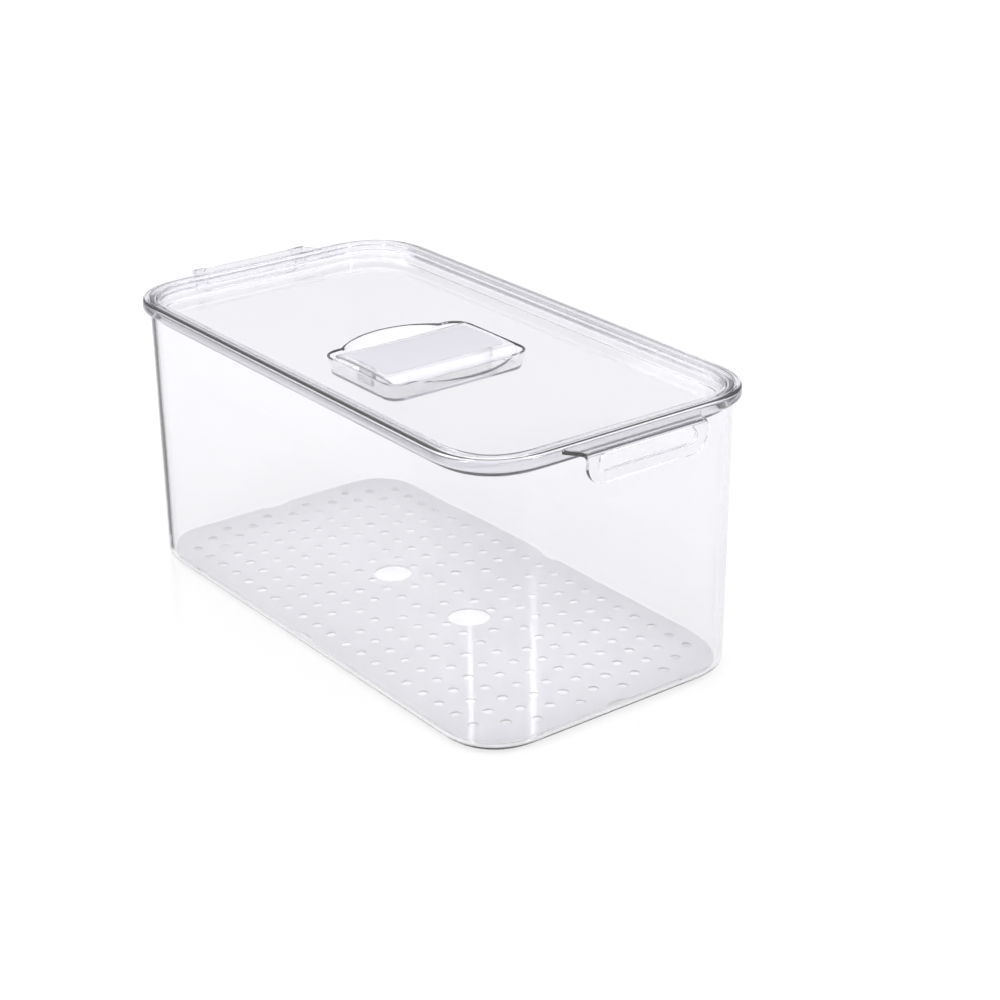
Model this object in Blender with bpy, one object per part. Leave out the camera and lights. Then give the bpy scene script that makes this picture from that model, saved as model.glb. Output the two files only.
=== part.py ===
"""A clear refrigerator storage bin: a tub with a looped handle at each end, a lift-off lid with a
sunken finger grip, and a perforated tray that holds the food off the floor of the tub.

Units are metres. +X runs along the bin, +Y across it and +Z up. The origin is on the surface
that the bin stands on, under its middle. Run it with blender --background --python part.py.
"""

import math

import bmesh
import bpy
from mathutils import Matrix, Vector

# The rim's outline. Every other long outline of the bin is this one, set in by some distance.
RIM_HALF_X = 0.1500
RIM_HALF_Y = 0.0820
RIM_RADIUS = 0.0320
RIM_TOP = 0.1410
FIT = 0.0003
WELD = 0.000001
SHARP_ANGLE = math.radians(35)

# Tub.
WALL = 0.0020
FLOOR = 0.0018
DRAFT = 0.0010
RIM_OVERHANG = 0.0036
RIM_HEIGHT = 0.0058
RIM_BULLNOSE = 0.0012
BASE_FILLET = 0.0040
FLOOR_FILLET = 0.0020
LEDGE_DROP = 0.0022
REBATE_INSET = 0.0033
CORNER_STEPS = 9
FILLET_STEPS = 3

# Looped handles at the two ends.
SHELF_TOP = 0.1403
HANDLE_END_X = 0.1615
HANDLE_HALF_Y = 0.0335
HANDLE_SKIN = 0.0022
HANDLE_FOLD = 0.0030
HANDLE_BOTTOM = 0.1254
HANDLE_CORNER = 0.0090
HANDLE_CORNER_STEPS = 5
FOLD_STEPS = 5
SHOULDER_FLARE = 0.0050
SHOULDER_REACH = 0.0075
SHOULDER_STEPS = 6
WINDOW_HALF_Y = 0.0270
WINDOW_BOTTOM = 0.1310
WINDOW_TOP = 0.1380
WINDOW_CORNER = 0.0030
WINDOW_CORNER_STEPS = 4

# Feet and cross ribs under the floor.
FOOT_HEIGHT = 0.0010
FOOT_INSET = 0.0095
FOOT_WIDTH = 0.0022
FOOT_END_X = 0.1030
FOOT_END_Y = 0.0410
RIB_X = 0.0475
RIB_HALF_Y = 0.0620
RIB_WIDTH = 0.0016
RIB_DEPTH = 0.0006
RIB_END_STEPS = 2

# Lid.
LID_THICK = 0.0016
LID_WALL = 0.0018
FLANGE_THICK = 0.0019
PLUG_CLEARANCE = 0.0006
RECESS_DEPTH = 0.0080
RECESS_TAPER = 0.0008
LID_SKIRT = 0.0010
SNAP_HALF_X = 0.0710
SNAP_PROUD = 0.0003
SNAP_HEIGHT = 0.0016

# Sunken grip: a pocket in the lid with a finger scoop on each long side, bridged by a plate.
POCKET_HALF_X = 0.0285
POCKET_HALF_Y = 0.0400
POCKET_RADIUS = 0.0085
POCKET_CORNER_STEPS = 4
POCKET_DEPTH = 0.0090
POCKET_TAPER = 0.0030
POCKET_SKIN = 0.0014
SCOOP_HALF_Y = 0.0285
SCOOP_BULGE = 0.0110
SCOOP_STEPS = 12
GRIP_HALF_X = 0.0250
GRIP_HALF_Y = 0.0380
GRIP_FLAT_HALF_X = 0.0185
GRIP_DROP = 0.0040
GRIP_THICK = 0.0018
GRIP_RISE = 0.0010
GRIP_CORNER = 0.0060
GRIP_CORNER_STEPS = 5
GRIP_ROLL_STEPS = 5
LATCH_HALF_X = 0.0060
LATCH_THICK = 0.0018
LABEL_HALF_X = 0.0165
LABEL_HALF_Y = 0.0345
LABEL_CORNER = 0.0030
LABEL_CORNER_STEPS = 4
LABEL_THICK = 0.0004
LABEL_INLAY = 0.0006

# Drain tray.
TRAY_CLEARANCE = 0.0015
TRAY_THICK = 0.0013
TRAY_LIP_DEPTH = 0.0007
TRAY_LIP_WIDTH = 0.0015
NOTCH_HALF = 0.0095
NOTCH_DEPTH = 0.0025
NOTCH_STEPS = 6
FINGER_HOLE_X = 0.0315
FINGER_HOLE_RADIUS = 0.0095
FINGER_HOLE_SIDES = 24
HOLE_PITCH = 0.0125
HOLE_RADIUS = 0.0024
HOLE_SIDES = 6
HOLE_ROWS_EACH_WAY = 5
HOLES_EACH_WAY = 11
PLAIN_PLACE = 5

OVERRUN = 0.0030

# Each plastic's colour, roughness and clearness.
CRYSTAL_PLASTIC = ((0.93, 0.93, 0.95), 0.04, 0.95)
LID_PLASTIC = ((0.91, 0.91, 0.93), 0.06, 0.92)
GRIP_PLASTIC = ((0.92, 0.92, 0.95), 0.05, 0.92)
TRAY_PLASTIC = ((0.86, 0.85, 0.89), 0.38, 0.45)
LABEL_PLASTIC = ((0.74, 0.74, 0.79), 0.45, 0.25)

# Heights and insets worked out from the driving sizes.
FLOOR_UNDER = FOOT_HEIGHT
FLOOR_TOP = FLOOR_UNDER + FLOOR
RIM_UNDER = RIM_TOP - RIM_HEIGHT
LEDGE_TOP = RIM_TOP - LEDGE_DROP
TUB_INSIDE = RIM_OVERHANG + WALL
FLANGE_UNDER = LEDGE_TOP + FIT
LID_TOP = FLANGE_UNDER + FLANGE_THICK
PLUG_INSET = TUB_INSIDE + PLUG_CLEARANCE
PANEL_TOP = LID_TOP - RECESS_DEPTH
PANEL_UNDER = PANEL_TOP - LID_THICK
POCKET_FLOOR = PANEL_TOP - POCKET_DEPTH
GRIP_TOP = PANEL_TOP + GRIP_RISE
TRAY_UNDER = FLOOR_TOP + FIT
TRAY_TOP = TRAY_UNDER + TRAY_LIP_DEPTH + TRAY_THICK
TRAY_INSET = TUB_INSIDE + DRAFT + TRAY_CLEARANCE


def clear_scene():
    for item in list(bpy.data.objects):
        bpy.data.objects.remove(item, do_unlink=True)


def new_collection(name):
    made = bpy.data.collections.new(name)
    bpy.context.scene.collection.children.link(made)
    return made


def plastic(name, colour, roughness, transmission):
    """A moulded plastic with its own colour, gloss and clearness."""
    material = bpy.data.materials.new(name)
    material.use_nodes = True
    shader = material.node_tree.nodes["Principled BSDF"]
    shader.inputs["Base Color"].default_value = (*colour, 1.0)
    shader.inputs["Roughness"].default_value = roughness
    shader.inputs["Metallic"].default_value = 0.0
    shader.inputs["Transmission Weight"].default_value = transmission
    return material


def rounded(half_x, half_y, radius, steps=CORNER_STEPS):
    """A rounded rectangle as (x, y) points, anticlockwise from its +X side."""
    points = []
    for quarter, (side_x, side_y) in enumerate(((1, 1), (-1, 1), (-1, -1), (1, -1))):
        for step in range(steps + 1):
            angle = math.radians(90 * (quarter + step / steps))
            x = side_x * (half_x - radius) + radius * math.cos(angle)
            y = side_y * (half_y - radius) + radius * math.sin(angle)
            points.append((x, y))
    return points


def inset_rim(inset):
    """The rim's outline, set in by one distance all round."""
    return rounded(RIM_HALF_X - inset, RIM_HALF_Y - inset, RIM_RADIUS - inset)


def loft(name, rings):
    """A closed solid through rings of equal length, each a list of points with a height."""
    shape = bmesh.new()
    loops = [[shape.verts.new((x, y, z)) for x, y in points] for points, z in rings]
    for low, high in zip(loops, loops[1:]):
        for i in range(len(low)):
            shape.faces.new((low[i - 1], low[i], high[i], high[i - 1]))
    shape.faces.new(reversed(loops[0]))
    shape.faces.new(loops[-1])
    bmesh.ops.recalc_face_normals(shape, faces=shape.faces)
    return object_from(name, shape)


def object_from(name, shape):
    mesh = bpy.data.meshes.new(name)
    shape.to_mesh(mesh)
    shape.free()
    return bpy.data.objects.new(name, mesh)


def prism(name, outline, low, high, along="Z"):
    """A flat outline extruded between two places along one axis.
    The outline is in (x, y) for Z, in (x, z) for Y and in (y, z) for X."""
    curve = bpy.data.curves.new(name, "CURVE")
    curve.dimensions = "2D"
    curve.fill_mode = "BOTH"
    curve.extrude = (high - low) / 2
    spline = curve.splines.new("POLY")
    spline.points.add(len(outline) - 1)
    for point, (across, up) in zip(spline.points, outline):
        point.co = (across, up, 0.0, 1.0)
    spline.use_cyclic_u = True
    drawn = bpy.data.objects.new(name + "_outline", curve)
    middle = (high + low) / 2
    if along == "Z":
        drawn.matrix_world = Matrix.Translation((0, 0, middle))
    if along == "Y":
        drawn.matrix_world = Matrix.Translation((0, middle, 0)) @ Matrix.Rotation(math.pi / 2, 4, "X")
    if along == "X":
        turned = Matrix(((0, 0, 1, 0), (1, 0, 0, 0), (0, 1, 0, 0), (0, 0, 0, 1)))
        drawn.matrix_world = Matrix.Translation((middle, 0, 0)) @ turned
    bpy.context.scene.collection.objects.link(drawn)
    bpy.context.view_layer.update()
    graph = bpy.context.evaluated_depsgraph_get()
    mesh = bpy.data.meshes.new_from_object(drawn.evaluated_get(graph))
    mesh.transform(drawn.matrix_world)
    bpy.data.objects.remove(drawn)
    shape = bmesh.new()
    shape.from_mesh(mesh)
    bpy.data.meshes.remove(mesh)
    bmesh.ops.remove_doubles(shape, verts=shape.verts, dist=WELD)
    bmesh.ops.recalc_face_normals(shape, faces=shape.faces)
    return object_from(name, shape)


def together(name, pieces):
    """Separate solids that don't touch, gathered into one object, for use as one cutter."""
    shape = bmesh.new()
    for piece in pieces:
        shape.from_mesh(piece.data)
        bpy.data.objects.remove(piece)
    return object_from(name, shape)


def mirrored(piece, axis):
    """The same solid on the other side of the middle, as a new object."""
    shape = bmesh.new()
    shape.from_mesh(piece.data)
    flip = Vector((1, 1, 1))
    flip["XYZ".index(axis)] = -1
    bmesh.ops.scale(shape, vec=flip, verts=shape.verts)
    bmesh.ops.reverse_faces(shape, faces=shape.faces)
    return object_from(piece.name + "_opposite", shape)


def boolean(piece, tool, operation, cutters):
    """Adds a live Boolean modifier and files its tool with the cutters."""
    cutters.objects.link(tool)
    tool.hide_render = True
    tool.display_type = "WIRE"
    step = piece.modifiers.new(tool.name, "BOOLEAN")
    step.operation = operation
    step.solver = "EXACT"
    step.object = tool


def finish(piece, parts, material):
    """Files a piece with the bin's parts, in its own plastic."""
    parts.objects.link(piece)
    piece.data.materials.append(material)
    piece.data.shade_smooth()
    piece.data.set_sharp_from_angle(angle=SHARP_ANGLE)


def fillet(radius, steps=FILLET_STEPS):
    """How far in and how far down a quarter round is, step by step from its side to its end."""
    for step in range(steps + 1):
        angle = math.radians(90 * step / steps)
        yield radius * (1 - math.cos(angle)), radius * math.sin(angle)


def tub_rings():
    """The tub's section from the middle of its underside, up its outside and down its inside."""
    rings = []
    for inward, down in reversed(list(fillet(BASE_FILLET))):
        height = FLOOR_UNDER + BASE_FILLET - down
        rings.append((inset_rim(RIM_OVERHANG + DRAFT + inward), height))
    rings.append((inset_rim(RIM_OVERHANG), RIM_UNDER))
    for inward, down in reversed(list(fillet(RIM_BULLNOSE))):
        rings.append((inset_rim(inward), RIM_UNDER + RIM_BULLNOSE - down))
    for inward, up in fillet(RIM_BULLNOSE):
        rings.append((inset_rim(inward), RIM_TOP - RIM_BULLNOSE + up))
    rings.append((inset_rim(REBATE_INSET), RIM_TOP))
    rings.append((inset_rim(REBATE_INSET), LEDGE_TOP))
    rings.append((inset_rim(TUB_INSIDE), LEDGE_TOP))
    for inward, down in fillet(FLOOR_FILLET):
        height = FLOOR_TOP + FLOOR_FILLET - down
        rings.append((inset_rim(TUB_INSIDE + DRAFT + inward), height))
    return rings


def handle_profile():
    """The handle from the side: a shelf at the rim that folds down into a lip."""
    root = RIM_HALF_X - REBATE_INSET / 2
    fold_x = HANDLE_END_X - HANDLE_FOLD
    fold_z = SHELF_TOP - HANDLE_FOLD
    inner_fold = HANDLE_FOLD - HANDLE_SKIN
    angles = [math.radians(90 * step / FOLD_STEPS) for step in range(FOLD_STEPS + 1)]
    outside = [(fold_x + HANDLE_FOLD * math.sin(a), fold_z + HANDLE_FOLD * math.cos(a)) for a in angles]
    inside = [(fold_x + inner_fold * math.sin(a), fold_z + inner_fold * math.cos(a)) for a in angles]
    lip = [(HANDLE_END_X, HANDLE_BOTTOM), (HANDLE_END_X - HANDLE_SKIN, HANDLE_BOTTOM)]
    return [(root, SHELF_TOP)] + outside + lip + inside[::-1] + [(root, SHELF_TOP - HANDLE_SKIN)]


def shoulder(side):
    """One of the two curved gussets that flare the shelf out into the rim."""
    root = RIM_HALF_X - REBATE_INSET / 2
    points = [(root, HANDLE_HALF_Y + SHOULDER_FLARE)]
    for step in range(SHOULDER_STEPS + 1):
        part = step / SHOULDER_STEPS
        flare = SHOULDER_FLARE * (1 + math.cos(math.pi * part)) / 2
        points.append((RIM_HALF_X + SHOULDER_REACH * part, HANDLE_HALF_Y + flare))
    points.append((RIM_HALF_X + SHOULDER_REACH, HANDLE_HALF_Y - SHOULDER_FLARE))
    points.append((root, HANDLE_HALF_Y - SHOULDER_FLARE))
    outline = [(x, side * y) for x, y in points]
    return prism("shoulder", outline, SHELF_TOP - HANDLE_SKIN - FIT, SHELF_TOP - FIT)


def handle(name, cutters):
    """A looped handle at the +X end, cut from a folded strip."""
    strip = prism(name, handle_profile(), -HANDLE_HALF_Y, HANDLE_HALF_Y, "Y")
    height = 2 * (SHELF_TOP - HANDLE_BOTTOM)
    face = rounded(HANDLE_HALF_Y, height / 2, HANDLE_CORNER, HANDLE_CORNER_STEPS)
    face = [(y, z + HANDLE_BOTTOM + height / 2) for y, z in face]
    near = RIM_HALF_X - REBATE_INSET
    boolean(strip, prism(name + "_face", face, near, HANDLE_END_X + OVERRUN, "X"), "INTERSECT", cutters)
    window_half = (WINDOW_TOP - WINDOW_BOTTOM) / 2
    opening = rounded(WINDOW_HALF_Y, window_half, WINDOW_CORNER, WINDOW_CORNER_STEPS)
    opening = [(y, z + (WINDOW_TOP + WINDOW_BOTTOM) / 2) for y, z in opening]
    inner = HANDLE_END_X - HANDLE_SKIN - OVERRUN / 2
    window = prism(name + "_window", opening, inner, HANDLE_END_X + OVERRUN, "X")
    boolean(strip, window, "DIFFERENCE", cutters)
    return strip


def corner_foot(side_x, side_y):
    """A low rib that follows one corner of the base."""
    outer = RIM_RADIUS - FOOT_INSET
    inner = outer - FOOT_WIDTH
    centre_x = RIM_HALF_X - RIM_RADIUS
    centre_y = RIM_HALF_Y - RIM_RADIUS
    angles = [math.radians(90 * step / CORNER_STEPS) for step in range(CORNER_STEPS + 1)]
    points = [(centre_x + outer, FOOT_END_Y)]
    points += [(centre_x + outer * math.cos(a), centre_y + outer * math.sin(a)) for a in angles]
    points += [(FOOT_END_X, centre_y + outer), (FOOT_END_X, centre_y + inner)]
    points += [(centre_x + inner * math.cos(a), centre_y + inner * math.sin(a)) for a in reversed(angles)]
    points.append((centre_x + inner, FOOT_END_Y))
    outline = [(side_x * x, side_y * y) for x, y in points]
    return prism("corner_foot", outline, 0.0, FLOOR_UNDER + FLOOR / 2)


def cross_rib(x):
    outline = rounded(RIB_WIDTH / 2, RIB_HALF_Y, RIB_WIDTH / 3, RIB_END_STEPS)
    outline = [(x + dx, y) for dx, y in outline]
    return prism("cross_rib", outline, FLOOR_UNDER - RIB_DEPTH, FLOOR_UNDER + FLOOR / 2)


def make_bin_body(parts, cutters, material):
    body = loft("bin_body", tub_rings())
    feet = [corner_foot(side_x, side_y) for side_x in (-1, 1) for side_y in (-1, 1)]
    ribs = [cross_rib(-RIB_X), cross_rib(RIB_X)]
    boolean(body, together("base_ribs", feet + ribs), "UNION", cutters)
    shoulders = together("near_shoulders", [shoulder(-1), shoulder(1)])
    far_shoulders = mirrored(shoulders, "X")
    near = handle("near_handle", cutters)
    boolean(near, shoulders, "UNION", cutters)
    far = mirrored_handle(near, far_shoulders, cutters)
    boolean(body, near, "UNION", cutters)
    boolean(body, far, "UNION", cutters)
    finish(body, parts, material)


def mirrored_handle(near, far_shoulders, cutters):
    """The far handle: the near one's strip and its tools, turned to the other end."""
    far = mirrored(near, "X")
    far.name = "far_handle"
    for step in near.modifiers:
        tool = far_shoulders if step.operation == "UNION" else mirrored(step.object, "X")
        boolean(far, tool, step.operation, cutters)
    return far


def lid_rings():
    """The lid's section from the middle of its underside, out to the flange and back over the top."""
    return [
        (inset_rim(PLUG_INSET + LID_SKIRT), PANEL_UNDER),
        (inset_rim(PLUG_INSET), PANEL_UNDER + LID_SKIRT),
        (inset_rim(PLUG_INSET), FLANGE_UNDER),
        (inset_rim(REBATE_INSET + FIT), FLANGE_UNDER),
        (inset_rim(REBATE_INSET + FIT), LID_TOP - FIT),
        (inset_rim(REBATE_INSET + 2 * FIT), LID_TOP),
        (inset_rim(PLUG_INSET + LID_WALL), LID_TOP),
        (inset_rim(PLUG_INSET + LID_WALL + RECESS_TAPER), PANEL_TOP),
    ]


def pocket_outline(grow, bulge):
    """The grip pocket from above: a rounded rectangle whose long sides swell out into scoops."""
    half_x = POCKET_HALF_X + grow
    half_y = POCKET_HALF_Y + grow
    radius = POCKET_RADIUS + grow / 2
    quarter = []
    for step in range(SCOOP_STEPS // 2 + 1):
        y = SCOOP_HALF_Y * step / (SCOOP_STEPS // 2)
        quarter.append((half_x + bulge * arc_height(y / SCOOP_HALF_Y), y))
    for step in range(POCKET_CORNER_STEPS + 1):
        angle = math.radians(90 * step / POCKET_CORNER_STEPS)
        x = half_x - radius + radius * math.cos(angle)
        y = half_y - radius + radius * math.sin(angle)
        quarter.append((x, y))
    back = [(-x, y) for x, y in reversed(quarter)]
    upper = quarter + back
    lower = [(-x, -y) for x, y in upper[1:-1]]
    return upper + lower


def arc_height(part):
    """Height of a shallow circular arch at a part of its half-width, as a part of its rise."""
    rise = SCOOP_BULGE / SCOOP_HALF_Y
    radius = (1 + rise * rise) / (2 * rise)
    return (math.sqrt(radius * radius - part * part) - (radius - rise)) / rise


def pocket_rings(grow, extra_top, extra_floor):
    """The pocket's hollow, or its shell when grown, from its floor to its mouth."""
    middle = (PANEL_TOP + POCKET_FLOOR) / 2
    return [
        (pocket_outline(grow - POCKET_TAPER, 0.0), POCKET_FLOOR - extra_floor),
        (pocket_outline(grow - POCKET_TAPER / 2, SCOOP_BULGE / 3), middle - extra_floor / 2),
        (pocket_outline(grow, SCOOP_BULGE), PANEL_TOP),
        (pocket_outline(grow, SCOOP_BULGE), PANEL_TOP + extra_top),
    ]


def pocket_shell():
    """The pocket's outer form, which stops inside the lid's panel."""
    rings = pocket_rings(POCKET_SKIN, 0.0, POCKET_SKIN)[:3]
    outline, height = rings[-1]
    rings[-1] = (outline, height - LID_THICK / 2)
    return loft("pocket_shell", rings)


def snap_bead(side):
    """A long low bead on one long side of the lid, which holds it in the tub."""
    outer = RIM_HALF_Y - PLUG_INSET + SNAP_PROUD
    inner = RIM_HALF_Y - PLUG_INSET - LID_WALL / 2
    outline = [
        (-SNAP_HALF_X, side * inner),
        (SNAP_HALF_X, side * inner),
        (SNAP_HALF_X, side * outer),
        (-SNAP_HALF_X, side * outer),
    ]
    low = FLANGE_UNDER - 2 * SNAP_HEIGHT
    return prism("snap_bead", outline, low, low + SNAP_HEIGHT)


def make_lid(parts, cutters, material):
    lid = loft("lid", lid_rings())
    boolean(lid, together("snap_beads", [snap_bead(-1), snap_bead(1)]), "UNION", cutters)
    boolean(lid, pocket_shell(), "UNION", cutters)
    boolean(lid, loft("pocket_hollow", pocket_rings(0.0, OVERRUN, 0.0)), "DIFFERENCE", cutters)
    finish(lid, parts, material)
    return lid


def grip_profile():
    """The grip plate from its short side: flat in the middle, with its long edges rolled down."""
    run = GRIP_HALF_X - GRIP_FLAT_HALF_X
    angles = [math.radians(90 * step / GRIP_ROLL_STEPS) for step in range(GRIP_ROLL_STEPS + 1)]
    top = []
    for angle in angles:
        across = GRIP_FLAT_HALF_X + run * math.sin(angle)
        top.append((across, GRIP_TOP - GRIP_DROP * (1 - math.cos(angle))))
    under = []
    for angle in angles:
        across = GRIP_FLAT_HALF_X + (run - GRIP_THICK) * math.sin(angle)
        drop = (GRIP_DROP - GRIP_THICK) * (1 - math.cos(angle))
        under.append((across, GRIP_TOP - GRIP_THICK - drop))
    right = top + under[::-1]
    right[len(top):len(top)] = [(GRIP_HALF_X - GRIP_THICK, GRIP_TOP - GRIP_DROP)]
    left = [(-x, z) for x, z in reversed(right)]
    return left + right


def latch(side):
    """The snap-in foot at one short end of the grip plate, standing on the pocket's floor."""
    outer = side * (GRIP_HALF_Y - POCKET_TAPER)
    inner = outer - side * LATCH_THICK
    outline = [(-LATCH_HALF_X, inner), (LATCH_HALF_X, inner), (LATCH_HALF_X, outer), (-LATCH_HALF_X, outer)]
    return prism("latch", outline, POCKET_FLOOR + FIT, GRIP_TOP - GRIP_THICK / 2)


def make_grip_plate(parts, cutters, material):
    plate = prism("grip_plate", grip_profile(), -GRIP_HALF_Y, GRIP_HALF_Y, "Y")
    corners = rounded(GRIP_HALF_X + FIT, GRIP_HALF_Y - FIT, GRIP_CORNER, GRIP_CORNER_STEPS)
    low = GRIP_TOP - GRIP_DROP - OVERRUN
    boolean(plate, prism("grip_corners", corners, low, GRIP_TOP + OVERRUN), "INTERSECT", cutters)
    boolean(plate, together("latches", [latch(-1), latch(1)]), "UNION", cutters)
    seat_corner = LABEL_CORNER + FIT
    seat = rounded(LABEL_HALF_X + FIT, LABEL_HALF_Y + FIT, seat_corner, LABEL_CORNER_STEPS)
    seat_tool = prism("label_seat", seat, GRIP_TOP - LABEL_INLAY, GRIP_TOP + OVERRUN)
    boolean(plate, seat_tool, "DIFFERENCE", cutters)
    finish(plate, parts, material)
    return plate


def make_grip_label(parts, material):
    outline = rounded(LABEL_HALF_X, LABEL_HALF_Y, LABEL_CORNER, LABEL_CORNER_STEPS)
    low = GRIP_TOP - LABEL_INLAY + FIT
    label = prism("grip_label", outline, low, low + LABEL_THICK)
    finish(label, parts, material)
    return label


def notch(half_x, half_y, side_x, side_y):
    """A shallow finger notch in the middle of one side of the tray, as a cutting solid."""
    radius = (NOTCH_HALF**2 + NOTCH_DEPTH**2) / (2 * NOTCH_DEPTH)
    shift = radius - NOTCH_DEPTH
    centre_x = side_x * (half_x + shift)
    centre_y = side_y * (half_y + shift)
    span = math.asin(NOTCH_HALF / radius)
    facing = math.atan2(-side_y, -side_x)
    points = []
    for step in range(NOTCH_STEPS + 1):
        angle = facing + span * (2 * step / NOTCH_STEPS - 1)
        points.append((centre_x + radius * math.cos(angle), centre_y + radius * math.sin(angle)))
    out_x = side_x * OVERRUN
    out_y = side_y * OVERRUN
    first = points[0]
    last = points[-1]
    points.append((last[0] + out_x, last[1] + out_y))
    points.append((first[0] + out_x, first[1] + out_y))
    return prism("notch", points, TRAY_UNDER - OVERRUN, TRAY_TOP + OVERRUN)


def drain_hole_places():
    """Staggered rows of drain holes, which leave the two finger holes and their surround plain."""
    for row in range(-HOLE_ROWS_EACH_WAY, HOLE_ROWS_EACH_WAY + 1):
        staggered = row % 2 != 0
        count = HOLES_EACH_WAY if staggered and abs(row) != HOLE_ROWS_EACH_WAY else HOLES_EACH_WAY - 1
        for number in range(1, count + 1):
            x = HOLE_PITCH * (number - 0.5 if staggered else number)
            keeps_clear = row == 0 and (abs(x - FINGER_HOLE_X) < HOLE_PITCH or number == PLAIN_PLACE)
            if not keeps_clear:
                yield x, row * HOLE_PITCH
                yield -x, row * HOLE_PITCH


def cylinder_cutter(shape, x, y, radius, sides):
    """Adds one upright round cutter through the tray to a bmesh."""
    height = TRAY_TOP - TRAY_UNDER + 2 * OVERRUN
    place = Matrix.Translation((x, y, (TRAY_TOP + TRAY_UNDER) / 2))
    bmesh.ops.create_cone(
        shape,
        cap_ends=True,
        segments=sides,
        radius1=radius,
        radius2=radius,
        depth=height,
        matrix=place,
    )


def tray_holes():
    shape = bmesh.new()
    for x, y in drain_hole_places():
        cylinder_cutter(shape, x, y, HOLE_RADIUS, HOLE_SIDES)
    for x in (-FINGER_HOLE_X, FINGER_HOLE_X):
        cylinder_cutter(shape, x, 0.0, FINGER_HOLE_RADIUS, FINGER_HOLE_SIDES)
    return object_from("tray_holes", shape)


def make_drain_tray(parts, cutters, material):
    """A thin plate on a low lip all round, pierced so that water runs under it."""
    tray = prism("drain_tray", inset_rim(TRAY_INSET), TRAY_UNDER, TRAY_TOP)
    half_x = RIM_HALF_X - TRAY_INSET
    half_y = RIM_HALF_Y - TRAY_INSET
    hollow_top = TRAY_UNDER + TRAY_LIP_DEPTH
    hollow_inset = TRAY_INSET + TRAY_LIP_WIDTH + NOTCH_DEPTH
    hollow = prism("tray_hollow", inset_rim(hollow_inset), TRAY_UNDER - OVERRUN, hollow_top)
    boolean(tray, hollow, "DIFFERENCE", cutters)
    notches = [notch(half_x, half_y, *side) for side in ((1, 0), (-1, 0), (0, 1), (0, -1))]
    boolean(tray, together("tray_notches", notches), "DIFFERENCE", cutters)
    boolean(tray, tray_holes(), "DIFFERENCE", cutters)
    finish(tray, parts, material)
    return tray


def lift_frame(name, height, parts):
    """An empty on the line along which a loose piece lifts out."""
    frame = bpy.data.objects.new(name, None)
    frame.empty_display_size = RIM_HALF_Y / 2
    frame.location = (0.0, 0.0, height)
    parts.objects.link(frame)
    return frame


def attach(piece, frame):
    piece.parent = frame
    piece.matrix_parent_inverse = Matrix.Translation(-frame.location)


def build():
    clear_scene()
    parts = new_collection("fridge_bin")
    cutters = new_collection("fridge_bin_cutters")
    lid_frame = lift_frame("lid_lift_frame", LEDGE_TOP, parts)
    tray_frame = lift_frame("tray_lift_frame", FLOOR_TOP, parts)
    make_bin_body(parts, cutters, plastic("crystal_clear", *CRYSTAL_PLASTIC))
    attach(make_lid(parts, cutters, plastic("lid_clear", *LID_PLASTIC)), lid_frame)
    attach(make_grip_plate(parts, cutters, plastic("grip_clear", *GRIP_PLASTIC)), lid_frame)
    attach(make_grip_label(parts, plastic("label_grey", *LABEL_PLASTIC)), lid_frame)
    attach(make_drain_tray(parts, cutters, plastic("frosted_tray", *TRAY_PLASTIC)), tray_frame)


build()
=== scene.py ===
"""The looks of the clear refrigerator bin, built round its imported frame.

Units are metres. +X runs along the bin, +Y across it and +Z up. The origin is on the surface that
the bin stands on, under its middle.
"""

import math

import bmesh
import bpy
from mathutils import Matrix, Vector


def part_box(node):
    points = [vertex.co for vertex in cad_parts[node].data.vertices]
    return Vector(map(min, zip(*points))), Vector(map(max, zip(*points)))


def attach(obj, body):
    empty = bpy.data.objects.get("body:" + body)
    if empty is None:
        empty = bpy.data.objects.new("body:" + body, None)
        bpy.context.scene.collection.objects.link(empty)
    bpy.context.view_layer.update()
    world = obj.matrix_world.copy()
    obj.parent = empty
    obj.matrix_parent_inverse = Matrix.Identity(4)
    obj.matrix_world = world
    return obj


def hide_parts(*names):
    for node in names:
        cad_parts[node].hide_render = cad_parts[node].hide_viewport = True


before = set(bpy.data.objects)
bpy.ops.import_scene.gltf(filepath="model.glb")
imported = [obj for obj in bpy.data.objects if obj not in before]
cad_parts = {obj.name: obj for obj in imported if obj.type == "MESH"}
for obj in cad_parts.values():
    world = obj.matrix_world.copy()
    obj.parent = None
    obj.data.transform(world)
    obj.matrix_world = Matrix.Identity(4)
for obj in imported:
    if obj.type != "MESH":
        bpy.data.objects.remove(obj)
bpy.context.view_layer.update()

BODY_LOW, BODY_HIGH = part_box("bin_body")
LID_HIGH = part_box("lid")[1]
TRAY_LOW, TRAY_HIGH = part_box("drain_tray")
GRIP_LOW, GRIP_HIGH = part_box("grip_plate")
LABEL_LOW, LABEL_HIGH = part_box("grip_label")

# The rim's outline. Every other long outline is this one, set in by some distance.
LID_MARGIN = 0.0036
RIM_HALF_X = LID_HIGH.x + LID_MARGIN
RIM_HALF_Y = BODY_HIGH.y
RIM_RADIUS = 0.0320
RIM_TOP = BODY_HIGH.z
CORNER_STEPS = 24
CORNER_DETAIL = 16
CORNER_HOLD = 0.02
SMOOTH_ANGLE = math.radians(32)
SQUARE_ON = 0.99999
HAIR = 0.00003
WELD = 0.000001
ON_THE_CUT = 0.0000001

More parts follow.
